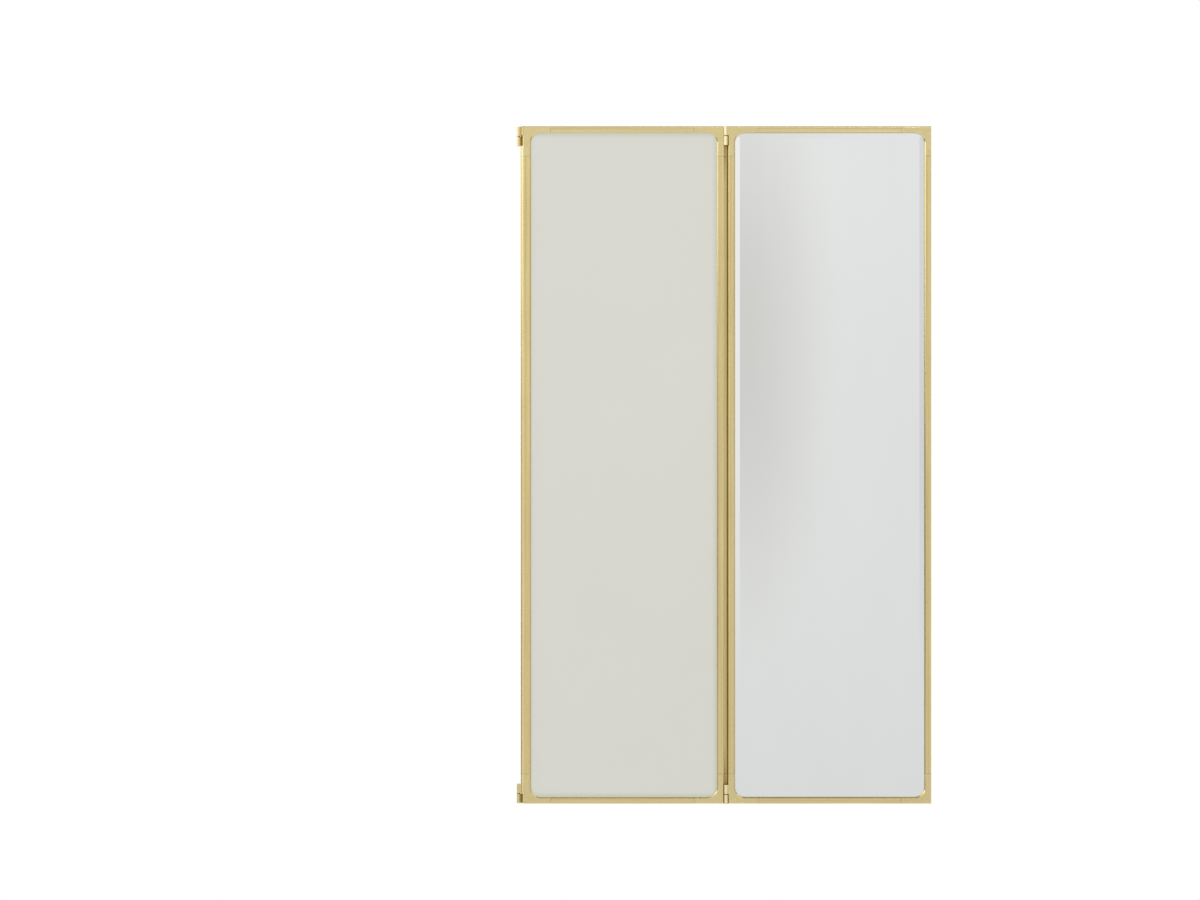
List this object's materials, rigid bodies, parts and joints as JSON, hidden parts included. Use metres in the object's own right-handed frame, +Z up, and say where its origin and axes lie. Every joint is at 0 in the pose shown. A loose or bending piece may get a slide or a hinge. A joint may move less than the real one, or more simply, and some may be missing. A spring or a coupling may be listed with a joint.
{
  "type": "folding wall mirror",
  "caption": "Tall folding wall mirror: a centre panel on keyhole hangers and hinged side wings, with bevelled mirrors and cream backs in narrow brass frames.",
  "frame": {"origin": "on the wall, midway between the centres of the two keyholes' entry holes", "axes": "+X to the viewer's right, +Y into the wall, +Z up"},
  "size_m": [0.6121, 0.0333, 1],
  "materials": {
    "brass": "pale satin brass",
    "mirror_glass": "silvered, bevelled",
    "cream_lacquer": "aluminium sheet in satin cream lacquer",
    "foam": "closed-cell foam",
    "nylon": "dark nylon",
    "steel": "zinc plated",
    "rubber": "matte",
    "silicone": "clear silicone"
  },
  "bodies": {
    "centre_panel": {"centre_back_sheet": "cream_lacquer", "centre_bottom_rail": "brass", "centre_foam": "foam", "centre_left_bottom_corner": "brass", "centre_left_stile": "brass", "centre_left_top_corner": "brass", "centre_mirror": "mirror_glass", "centre_right_bottom_corner": "brass", "centre_right_stile": "brass", "centre_right_top_corner": "brass", "centre_set_screws": "brass", "centre_top_rail": "brass", "fold_dots": "silicone", "hanger_left": "steel", "hanger_right": "steel", "hanger_screws": "steel", "hinge_block_bottom": "brass", "hinge_block_top": "brass", "hinge_post": "brass", "left_bottom_pin": "steel", "left_bottom_washer": "nylon", "left_top_pin": "steel", "left_top_washer": "nylon", "post_screws": "brass", "right_bottom_pin": "steel", "right_bottom_washer": "nylon", "right_top_pin": "steel", "right_top_washer": "nylon", "wall_bumpers": "rubber"},
    "left_wing": {"left_wing_back_sheet": "cream_lacquer", "left_wing_bottom_rail": "brass", "left_wing_foam": "foam", "left_wing_free_bottom_corner": "brass", "left_wing_free_stile": "brass", "left_wing_free_top_corner": "brass", "left_wing_hinge_bottom_corner": "brass", "left_wing_hinge_stile": "brass", "left_wing_hinge_top_corner": "brass", "left_wing_mirror": "mirror_glass", "left_wing_set_screws": "brass", "left_wing_top_rail": "brass"},
    "right_wing": {"right_wing_back_sheet": "cream_lacquer", "right_wing_bottom_rail": "brass", "right_wing_foam": "foam", "right_wing_free_bottom_corner": "brass", "right_wing_free_stile": "brass", "right_wing_free_top_corner": "brass", "right_wing_hinge_bottom_corner": "brass", "right_wing_hinge_stile": "brass", "right_wing_hinge_top_corner": "brass", "right_wing_mirror": "mirror_glass", "right_wing_set_screws": "brass", "right_wing_top_rail": "brass"}
  },
  "joints": [
    {"name": "left_wing_hinge", "type": "hinge", "parent": "centre_panel", "child": "left_wing", "pos_m": [-0.1531, -0.0175, -0.46], "axis": [0, 0, -1], "range_deg": [0, 180]},
    {"name": "right_wing_hinge", "type": "hinge", "parent": "centre_panel", "child": "right_wing", "pos_m": [0.1531, -0.0305, -0.46], "axis": [0, 0, -1], "range_deg": [0, 180]}
  ]
}
